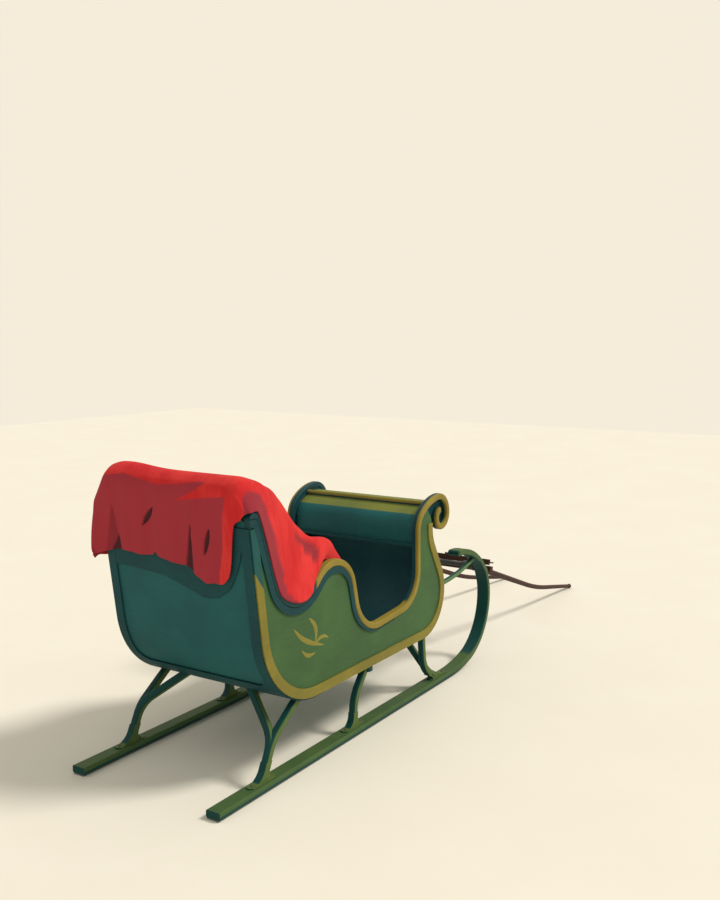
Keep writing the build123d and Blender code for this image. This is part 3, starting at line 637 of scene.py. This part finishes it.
# Station, distance from the middle and height along the edge that lies on the rail
rail_edge = [
    (205, 402, 1228), (205, 408, 1238), (206, 416, 1247), (210, 428, 1256), (224, 443, 1260),
    (262, 446, 1262), (283, 446, 1234), (328, 446, 1115), (388, 446, 948), (442, 446, 849),
    (571, 446, 797), (668, 441, 828), (738, 398, 928), (870, 389, 934), (988, 386, 872),
]
# The same for the left end: its rear edge hangs, then it follows the rail
left_edge = [
    (206, 468, 985), (203, 468, 1080), (203, 466, 1180), (209, 462, 1250), (226, 458, 1266),
] + rail_edge[5:]
# The flap's hem outside the left ear, which runs out on the rail
flap_hem = [
    (212, 482, 966), (214, 483, 962), (219, 483, 960), (226, 481, 964), (240, 480, 972),
    (282, 481, 966), (326, 479, 975), (366, 470, 1004), (402, 448, 925),
] + rail_edge[9:]

# Half widths over the rails and between the arms, and the height where the rear hang begins
rail_across, arm_across, hang_top = 446.0, 392.0, 1340.0
across = np.linspace(rail_across, -rail_across, robe_columns)
inner_across = np.clip(across, -arm_across, arm_across)
hang = np.linspace(np.interp(inner_across, *hem.T), np.full(robe_columns, hang_top), 4)[:3]
hang = np.stack([back_face(hang, 16), hang], axis=-1)
on_ridge = ramp(np.abs(inner_across), 215.0, 372.0)[None, :, None]
sections = (
    np.array(middle_section)[:, None] * (1 - on_ridge) + np.array(ridge_section)[:, None] * on_ridge
)
# The crest is 20 mm higher over the left shoulder, and sinks by 10 mm at both arms
crest_share = np.array([0.3, 0.8, 1.0, 0.8, 0.3] + [0.0] * 7)[:, None]
shoulder = 20 * np.exp(-(((inner_across - 290) / 150) ** 2))
sunk = 10 * ramp(np.abs(inner_across), 330, arm_across)
sections[..., 1] += crest_share * (shoulder - sunk)
inner = through(np.concatenate([hang, sections]), places)
right = through(rail_edge, places)[:, None] * np.array([1.0, -1.0, 1.0])
left = through(left_edge, places)[:, None]
flap = through(flap_hem, places)[:, None]
print("robe sections:", inner.shape[1], "with", inner.shape[0], "points")

# %% Lap robe: the blended surface
# From 384 to 441 mm from the middle the cloth passes from its section onto the rail
weight = ramp(np.abs(across), 384.0, 441.0)[None, :, None]
sideways_place = np.broadcast_to(inner_across, inner.shape[:2])
inner = np.stack([inner[..., 0], sideways_place, inner[..., 1]], axis=-1)
base = inner * (1 - weight) + np.where(across[None, :, None] > 0, left, right) * weight
for _ in range(5):
    ease(base)
# The flap goes from its hem to the edge on the rail, and bows out where it hangs more than 60 mm
# below that edge
fall = np.linspace(1.0, 0.0, flap_columns, endpoint=False)[None, :, None]
bow = np.array([0.0, 8.0, 6.0]) * np.sin(pi * fall) * (flap[..., 2:] < left[..., 2:] - 60)
cloth = np.concatenate([left * (1 - fall) + flap * fall + bow, base], axis=1)
# Where a point is on the cloth: its place along the section, and mm across from the middle
run = places[:, None]
side = np.concatenate([np.linspace(560.0, 450.0, flap_columns), across])[None, :]
print("cloth grid:", cloth.shape[0], "by", cloth.shape[1])

# %% [markdown]
# ## Lap robe: folds
#
# A fold on the rear hang is a shape in the plane of the back: a lens that is closed at both ends,
# or a wedge that opens at the hem. Its mask is 1 inside a half width that changes along its
# middle line. The same masks press the cloth in and paint shade into it. Broad waves, small at
# the crest and larger toward the hem, and cushiony swells on the seat, come from a few sines.


# %% Lap robe: folds
def fold(first, second, half_width, wedge, u, v, soft=0.35):
    """1 inside a fold from first to second, 0 outside.

    At t from 0 to 1 along the line its half width is w sin(pi t)^0.8, or w t for a wedge.
    """
    start, way = np.array(first, float), np.array(second, float) - np.array(first, float)
    offset = np.stack([u - start[0], v - start[1]], axis=-1)
    t = np.clip((offset @ way) / (way @ way), 0.0, 1.0)
    away = np.linalg.norm(offset - t[..., None] * way, axis=-1)
    wide = half_width * (t if wedge else np.sin(pi * t) ** 0.8) + 0.01
    return 1.0 - ramp(away / wide, 1.0 - soft, 1.0 + soft)


def waves(*rows):
    """The sum of h sin(side / length + drift run + phase) over rows of h, length, drift, phase."""
    return sum(h * np.sin(side / length + drift * run + phase) for h, length, drift, phase in rows)


rear = 1.0 - ramp(run, 2.4, 3.4)
front = ramp(run, 5.2, 7.0)
lapped = 1.0 - 0.88 * ramp(np.abs(side), 352.0, 424.0)
x, y, z = np.moveaxis(cloth, -1, 0)
# Both ends by distance from the middle and height, the half width, and whether it is a wedge
slit_rows = [
    ((92, 1240), (167, 1150), 13, False),
    ((-122, 1192), (-82, 970), 25, True),
    ((-226, 1178), (-184, 1050), 12, False),
    ((330, 1095), (356, 1000), 27, True),
]
slits = sum(fold(*row, y, z) for row in slit_rows) * rear
soft_fold = fold((347, 1232), (370, 1000), 44, True, y, z, 0.25) * rear
seat_fold = fold((548, 1128), (735, 992), 34, True, x, z, 0.2) * (y < -300) * front
swell = rear * (0.2 + 0.8 * (1 - run / 4)) * waves((8, 31, 0, 0.6), (4, 16, 0.8, 1.9))
heap = front * waves((9, 47, 0.9, 0.5), (6, 26, -2.1, 2.1), (4, 13, 3.3, 0))
flutter = ramp(side, 450.0, 500.0) * waves((6, 13, 1, 0))
pushed_in = 10 * slits + 5 * soft_fold + 9 * seat_fold
lift = (swell * 0.6 + heap) * lapped + rear * 5 + flutter - pushed_in
normal = np.cross(np.gradient(cloth, axis=1), np.gradient(cloth, axis=0))
normal /= np.maximum(np.linalg.norm(normal, axis=-1, keepdims=True), 1e-9)
cloth = cloth + normal * np.maximum(lift, -6.0)[..., None]
print("folds lift the cloth by up to", round(float(lift.max()), 1), "mm")

# %% [markdown]
# ## Lap robe: painted shade
#
# Shade is painted into the robe's colour where the rear hang and the right edge lie in shade. It
# has drawn outlines: a line across the rear hang with a bright tongue under it, a bright strip at
# the right end, and a band along the right edge. The outlines are rows of points that np.interp
# joins, with a short ramp that keeps them crisp but not jagged. The band follows the edge, and
# ramps along the section give its width. Folds and hollows get a darker painted shade.


# %% Lap robe: painted shade
def past(value, edge, soft):
    """0 below an edge and 1 above it, with a ramp as far as soft on both sides."""
    return ramp(value, edge - soft, edge + soft)


# Distance from the middle and height of the boundary where the painted shade on the rear hang
# begins, then of the bright tongue under it, then height and distance of the bright strip at the
# right end
dark_top = np.array([
    (-177, 1375), (-73, 1357), (62, 1344), (166, 1363), (266, 1379), (445, 1351), (505, 1333),
])
tongue_end = -49
tongue_low = np.array([(-334, 1322), (-202, 1308), (tongue_end, 1284)])
tongue_high = np.array([(-220, 1377), (-160, 1335), (tongue_end, 1284)])
strip = np.array([(923, -247), (979, -255), (1100, -290), (1233, -308), (1326, -336)])
# Here y and z are still those of the cloth before its folds moved it
above_low = past(z, np.interp(y, *tongue_low.T), 4)
above_high = past(z, np.interp(y, *tongue_high.T), 4)
tongue = above_low * (1 - above_high) * (y < tongue_end)
right_strip = 1 - past(y, np.interp(z, *strip.T), 4)
behind = (1 - ramp(run, 4.2, 4.8)) * (1 - past(z, np.interp(y, *dark_top.T), 5))
behind = behind * (1 - tongue) * (1 - right_strip)
# Distance along the cloth to its right edge, and the width of the painted shade band there
from_right = cloth[:, ::-1]
stride = np.linalg.norm(np.diff(from_right, axis=1, prepend=from_right[:, :1]), axis=-1)
to_edge = np.cumsum(stride, axis=1)[:, ::-1]
band_width = 92 * ramp(run, 2.2, 4.3) * (1 - ramp(run, 7.8, 10.2)) + 0.01
edge_band = 1 - ramp(to_edge / band_width, 0.9, 1.05)
# Painted shade: the rear hang, the right edge band and the seat's fold darken, and folds, the edge
# band and the hollows between swells go nearly black
robe_shade_amount = np.clip(behind + edge_band + 0.9 * seat_fold, 0.0, 1.0)
hollows = np.clip(-heap / 14, 0, 1) * lapped
fold_and_edge_shade = 0.35 * soft_fold + 0.25 * seat_fold + 0.2 * edge_band + 0.15 * hollows
fold_shade_amount = np.clip(slits + fold_and_edge_shade, 0.0, 1.0)
lap_cloth = skin(
    "lap_cloth", metres(*np.moveaxis(cloth, -1, 0)), "sleigh", robe_wool, "robe_wool",
    crease=fold_shade_amount, turned=robe_shade_amount,
)
thicken(lap_cloth, 0.006)
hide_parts("lap_robe")
spans = np.linalg.norm(np.diff(cloth, axis=1), axis=-1).sum(axis=1) / 1000
runs = np.linalg.norm(np.diff(cloth, axis=0), axis=-1).sum(axis=0) / 1000
area = sum(face.area for face in lap_cloth.data.polygons)
print("robe:", "across", spans.max().round(2), "along", runs.max().round(2), "area", round(area, 3))

# %% [markdown]
# ## Painted shadow under the robe's hem
#
# Under the robe's hem the back's border is deeper: a dark band painted as the hem's shadow, with a
# lower edge that dips and rises to the ears. It is a thin band on the back panel, and stands
# proud of it by 1 mm less than the frame.

# %% Painted shadow under the robe's hem
# Distance from the middle and height of the band's lower edge
arch = np.array([
    (-385, 1120), (-370, 1048), (-338, 978), (-293, 905), (-218, 855), (-138, 848), (-52, 881),
    (85, 922), (227, 936), (350, 941), (385, 935),
])
arch_top, arch_half = 1190.0, 385.0
arch_across = np.linspace(arch_half, -arch_half, 160)
lower_edge = np.interp(arch_across, *arch.T)
arch_height = np.linspace(lower_edge, np.full_like(lower_edge, arch_top), 24)
ease(arch_height)
# The band is in the frame's dark teal: a painted shadow of the robe's hem.
hem_shadow_band = skin(
    "hem_shadow_band", metres(back_face(arch_height, 7.0), arch_across, arch_height),
    "sleigh", frame_teal, "dark_teal",
)
thicken(hem_shadow_band, 0.006)
print("arch: lower edge from", lower_edge.min().round(), "to", lower_edge.max().round(), "mm")

# %% [markdown]
# ## Cheeks of the dash roll
#
# Thin boards close both ends of the roll inside the scrolls. Their outline is the inner edge of
# the rail's scroll: arcs that each start where the last one ended, in the same direction, with a
# smaller and smaller radius. The board is a fan of rows from the scroll's eye to that edge.

# %% Cheeks of the dash roll
# Radius in mm and turn in degrees. The first four arcs bound the board, and the last two lead on
# to the scroll's eye. A point is a complex number: station plus i times height.
scroll_arcs = [(110, 55), (300, 35), (85, 90), (55, 90), (38, 90), (26, 80)]
bounding = 4
pen, course = 1686 + 930j, radians(90.9)
scroll = []
for radius, turn in scroll_arcs:
    centre = pen + radius * np.exp(1j * (course - pi / 2))
    sweep = np.linspace(0.0, radians(turn), 16, endpoint=False)
    scroll.append(centre - radius * np.exp(1j * (course - pi / 2 - sweep)))
    course -= radians(turn)
    pen = centre - radius * np.exp(1j * (course - pi / 2))
edge = np.concatenate(scroll[:bounding])
share = np.linspace(0.02, 0.995, 12)[:, None]
cheek_plan = pen + share * (edge[None, :] - pen)
for side_name, way in both_sides:
    plan = cheek_plan[:, ::-1] if way < 0 else cheek_plan
    cheek = skin(
        f"roll_cheek_{side_name}", metres(plan.real, way * 402.5, plan.imag),
        "sleigh", cove_teal, "dark_teal",
    )
    thicken(cheek, 0.004)
print("cheeks end at station", round(pen.real), "height", round(pen.imag))

# %% [markdown]
# ## Bead on the dash's crest
#
# The dash panel runs up through the roll, and its upper edge stands on it. A half-round bead
# covers that edge: points at r cos q and r sin q, for q from just under 0 to just over 180
# degrees.

# %% Bead on the dash's crest
bead_radius, bead_station, bead_height, bead_half = 13.5, 1815, 1063.5, 401.0
q = np.linspace(-0.3, pi + 0.3, 22)[:, None]
bead_across = np.linspace(bead_half, -bead_half, 12)[None, :]
bead_profile = bead_station - bead_radius * np.cos(q), bead_height + bead_radius * np.sin(q)
bead = metres(bead_profile[0], bead_across, bead_profile[1])
skin("roll_bead", bead, "sleigh", moulding_olive, "gold_paint")
print("bead:", round(2 * bead_half), "mm long")

# %% [markdown]
# ## Painted leaves
#
# A spray of brush strokes is painted on each side panel. A stroke is a curve through three or
# four points, and its half width goes as w sin(pi t)^0.8, so it starts and ends in a point. The
# paint stands up from the board by less than a millimetre.

# %% Painted leaves
leaf_gold = painted("leaf_gold", "8d8738", "7a7631", "b0993f", along_x, 0.4)
# Station and height of each stroke's points, then its largest half width
strokes = [
    ([(530, 684), (590, 627), (668, 584), (770, 548)], 12.0),
    ([(650, 706), (690, 668), (706, 628), (700, 574)], 13.0),
    ([(690, 566), (730, 588), (772, 590), (808, 574)], 9.0),
    ([(590, 570), (622, 540), (656, 528), (700, 530)], 10.0),
]
board_face, paint_depth = 430.3, 0.7


def brush_stroke(points, half_width, way):
    """A leaf on the side panel: t along it, s from -1 to 1 across it."""
    t = np.linspace(0.0, 1.0, 28)
    line = through(points, t * (len(points) - 1))
    course = np.gradient(line, axis=0)
    course /= np.linalg.norm(course, axis=-1, keepdims=True)
    wide = half_width * np.sin(pi * t) ** 0.8
    s = np.linspace(-1.0, 1.0, 7)[None, :]
    station = line[:, :1] - course[:, 1:] * wide[:, None] * s
    height = line[:, 1:] + course[:, :1] * wide[:, None] * s
    proud = board_face + paint_depth * (1 - s**2) * np.sin(pi * t)[:, None] ** 0.5
    leaf = metres(station, way * proud, height)
    return leaf[:, ::-1] if way > 0 else leaf


for side_name, way in both_sides:
    leaves = np.stack([brush_stroke(points, wide, way) for points, wide in strokes])
    skin(f"painted_leaves_{side_name}", leaves, "sleigh", leaf_gold, "gold_paint")
print("leaves:", len(strokes), "strokes a side")

# %% [markdown]
# ## Buttoned cushions
#
# Each cushion starts as a finely divided box. A point p on it, in half sizes, is clamped to a
# smaller box and pushed out again by a radius, which rounds every edge. The face is then crowned
# and tufted: with a = pi (s/L + t/M) and b = pi (s/L - t/M) over the face's s and t, the quilting
# sqrt|sin a sin b| is 0 on two sets of diagonal lines and full between them. Where the lines
# cross sits a button.


# %% Cushion cloth
def woven(name, light, deep, thread):
    """Plain weave: two sets of threads, over and under, thread in metres from one to the next."""
    finish = Finish(name)
    here = finish.node("ShaderNodeSeparateXYZ", {}, {0: finish.place()})
    turn = 2 * pi / thread
    warp, weft = (here * turn).wave(), (here.out("Y") * turn).wave()
    rise = (here.out("Z") * turn).wave()
    weave = warp * weft * 0.6 + rise * 0.4
    mottle = finish.noise(finish.place(), 7.0, 4.0, 0.6)
    fuzz = finish.noise(finish.place(), 600.0, 2.0, 0.7)
    colour = finish.blend(finish.step(mottle, 0.3, 0.7), srgb(deep), srgb(light))
    return finish.surface(
        Base_Color=finish.blend(weave * 0.35 + fuzz * 0.15, colour, srgb("3f7068")),
        Roughness=0.8 + fuzz * 0.15,
        Specular_IOR_Level=0.2,
        Sheen_Weight=0.2,
        Normal=finish.bump(weave * 0.7 + fuzz * 0.3, 0.45, 0.0012),
    )


seat_cloth = woven("seat_cloth", "1f4d48", "193f3f", 0.0022)
print("cloth ready")


# %% Cushion shapes
def quilting(s, t, pitch_s, pitch_t):
    """0 on the diagonal seams and 1 in the middle of each diamond."""
    a, b = pi * (s / pitch_s + t / pitch_t), pi * (s / pitch_s - t / pitch_t)
    return np.sqrt(np.abs(np.sin(a) * np.sin(b)) + 1e-6)


def cushion(name, node, middle, axes, half, radius, crown, dip, pitch):
    """A tufted cushion: axes are its across, along and outward directions, sizes in mm.

    Between their corners the sides pull in by up to 1% across and 1.4% along.
    """
    shape = bmesh.new()
    bmesh.ops.create_cube(shape, size=2.0)
    bmesh.ops.subdivide_edges(shape, edges=shape.edges[:], cuts=75, use_grid_fill=True)
    mesh = bpy.data.meshes.new(name)
    shape.to_mesh(mesh)
    shape.free()
    p = np.empty(len(mesh.vertices) * 3)
    mesh.vertices.foreach_get("co", p)
    p = p.reshape(-1, 3)
    half = np.array(half, float)
    core = np.clip(p * half, radius - half, half - radius)
    push = p * half - core
    local = core + radius * push / np.linalg.norm(push, axis=1, keepdims=True)
    local[:, 0] *= 1 - 0.010 * np.cos(p[:, 1] * pi / 2) * np.abs(p[:, 0])
    local[:, 1] *= 1 - 0.014 * np.cos(p[:, 0] * pi / 2) * np.abs(p[:, 1])
    face = ramp(p[:, 2], 0.4, 1.0)
    middle_share = ramp(1 - np.abs(p[:, 0]), 0.02, 0.16) * ramp(1 - np.abs(p[:, 1]), 0.02, 0.2)
    local[:, 2] += face * crown * (1 - p[:, 0] ** 2) * (1 - p[:, 1] ** 2)
    local[:, 2] -= face * dip * middle_share * (1 - quilting(local[:, 0], local[:, 1], *pitch))
    placed = np.array(middle) + local @ np.array(axes)
    mesh.vertices.foreach_set("co", metres(*placed.T).ravel())
    mesh.update()
    piece = enter(name, mesh, "sleigh", seat_cloth)
    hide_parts(node)


def domes(name, centres, axes, radius, height, body, material, slot):
    """Rounded heads on a face: r sin q out from each centre and h cos q up, q from 0 to 90."""
    q = np.linspace(0.02, pi / 2, 7)[:, None]
    turn = np.linspace(0.0, 2 * pi, 17)[None, :]
    ring = radius * np.sin(q)
    parts = np.broadcast_arrays(ring * np.cos(turn), ring * np.sin(turn), height * np.cos(q))
    local = np.stack(parts, axis=-1)
    placed = np.array(centres, float)[:, None, None, :] + local @ np.array(axes, float)
    skin(name, metres(*np.moveaxis(placed, -1, 0)), body, material, slot)


def station_box(node):
    """A node's lowest and highest corners at rest, as station, distance to the left and height."""
    return [(np.array(corner) - (rear_end, 0.0, 0.0)) * 1000 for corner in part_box(node)]


seat_low, seat_high = station_box("seat_cushion")
squab_low, squab_high = station_box("back_cushion")
squab_up = np.array([-0.1416, 0.0, 0.9899])
squab_out = np.array([0.9899, 0.0, 0.1416])
sideways = np.array([0.0, 1.0, 0.0])
# Half sizes across, along and outward, then the middle, in mm: each pad starts a little smaller
# than the block that it stands for, because it is crowned afterwards
pad_half = 386.0
seat_half = (pad_half, (seat_high[0] - seat_low[0]) / 2 - 22, 57.0)
seat_middle = ((seat_low[0] + seat_high[0]) / 2 + 20, 0.0, seat_low[2] + 58)
squab_half = (pad_half, (squab_high[2] - squab_low[2]) / 2 - 6, 47.0)
squab_middle = (
    (squab_low[0] + squab_high[0]) / 2 - 4, 0.0, (squab_low[2] + squab_high[2]) / 2 - 6,
)
pitch_seat, pitch_squab = (192.0, 180.0), (192.0, 200.0)
cushion(
    "seat_pad", "seat_cushion", seat_middle,
    [sideways, (1.0, 0.0, 0.0), (0.0, 0.0, 1.0)], seat_half, 34.0, 16.0, 15.0, pitch_seat,
)
cushion(
    "back_pad", "back_cushion", squab_middle,
    [sideways, squab_up, squab_out], squab_half, 34.0, 12.0, 15.0, pitch_squab,
)
print("cushions at", np.round(seat_middle), np.round(squab_middle))

# %% [markdown]
# ## Buttons and bolts
#
# A covered button sits in each place where two seams cross, and a bolt head on each end of the
# knees' feet. Both are the same dome: a quarter ellipse turned about its axis. All the domes of
# a kind are one piece, because skin() takes a stack of grids too.

# %% Buttons and bolts
def lattice(middle, along, out, half, pitch, level):
    """Where the seams cross, inside the tufted part of a face."""
    steps = [(i, j) for i in range(-3, 4) for j in range(-4, 5) if (i + j) % 2 == 0]
    spots = [(i * pitch[0] / 2, j * pitch[1] / 2) for i, j in steps]
    inside = [(s, t) for s, t in spots if abs(s) < half[0] * 0.86 and abs(t) < half[1] * 0.84]
    origin = np.array(middle) + level * np.array(out)
    return [origin + s * sideways + t * np.array(along) for s, t in inside]


for name, middle, along, out, half, pitch in [
    ("seat_buttons", seat_middle, (1.0, 0.0, 0.0), (0.0, 0.0, 1.0), seat_half, pitch_seat),
    ("back_buttons", squab_middle, squab_up, squab_out, squab_half, pitch_squab),
]:
    centres = lattice(middle, along, out, half, pitch, half[2] - 6)
    domes(name, centres, [sideways, along, out], 9.0, 7.0, "sleigh", seat_cloth, "seat_cloth")

foot_stations = (322.0, 1062.0, 1950.0)
bolt_reach, runner_across, foot_top = 66, 400.0, 46.5
bolts = [
    (foot + end, way * runner_across, foot_top)
    for foot in foot_stations for end in (-bolt_reach, bolt_reach) for way in (-1, 1)
]
plain_axes = [(0.0, 1.0, 0.0), (-1.0, 0.0, 0.0), (0.0, 0.0, 1.0)]
domes("foot_bolts", bolts, plain_axes, 8.0, 5.0, "sleigh", hitch_iron, "hitch_iron")
print("bolts:", len(bolts))

# %% [markdown]
# ## Floor, light and backdrop
#
# The floor is a plain pale sheet under the runners. A soft sun from the front right does the
# modelling, and a pale world fills the shadows. The camera and the reflections see a plain cream
# world through Light Path, so the background's brightness adds nothing to the light.

# %% Stage
floor_mesh = bpy.data.meshes.new("studio_floor")
floor_half = 15.0
corner_signs = ((-1, -1), (1, -1), (1, 1), (-1, 1))
floor_corners = [(u * floor_half, v * floor_half, 0) for u, v in corner_signs]
floor_mesh.from_pydata(floor_corners, [], [(0, 1, 2, 3)])
studio_floor = bpy.data.objects.new("studio_floor", floor_mesh)
scene.collection.objects.link(studio_floor)

floor_finish = Finish("studio_floor")
snow = floor_finish.noise(floor_finish.place(), 1.3, 5.0, 0.6)
floor_mesh.materials.append(floor_finish.surface(
    Base_Color=floor_finish.blend(snow, srgb("efe7d5"), srgb("f5efe1")),
    Roughness=0.9,
    Specular_IOR_Level=0.1,
))

world = bpy.data.worlds.new("studio")
scene.world = world
world.use_nodes = True
tree = world.node_tree
tree.nodes.clear()
rays = tree.nodes.new("ShaderNodeLightPath")
seen = tree.nodes.new("ShaderNodeMath")
seen.operation = "MAXIMUM"
fill = tree.nodes.new("ShaderNodeBackground")
fill.inputs["Color"].default_value = srgb("f3f1ea")
fill.inputs["Strength"].default_value = 0.66
shown = tree.nodes.new("ShaderNodeBackground")
shown.inputs["Color"].default_value = srgb("f5ecda")
mix = tree.nodes.new("ShaderNodeMixShader")
end = tree.nodes.new("ShaderNodeOutputWorld")
tree.links.new(rays.outputs["Is Camera Ray"], seen.inputs[0])
tree.links.new(rays.outputs["Is Glossy Ray"], seen.inputs[1])
tree.links.new(seen.outputs[0], mix.inputs["Fac"])
tree.links.new(fill.outputs[0], mix.inputs[1])
tree.links.new(shown.outputs[0], mix.inputs[2])
tree.links.new(mix.outputs[0], end.inputs["Surface"])

sun_data = bpy.data.lights.new("soft_sun", "SUN")
sun_data.energy = 2.05
sun_data.angle = radians(14)
sun_data.color = (1.0, 0.97, 0.92)
sun = bpy.data.objects.new("soft_sun", sun_data)
sun.rotation_euler = Vector((-0.45, 0.72, -1.0)).to_track_quat("-Z", "Y").to_euler()
scene.collection.objects.link(sun)
print("stage ready")
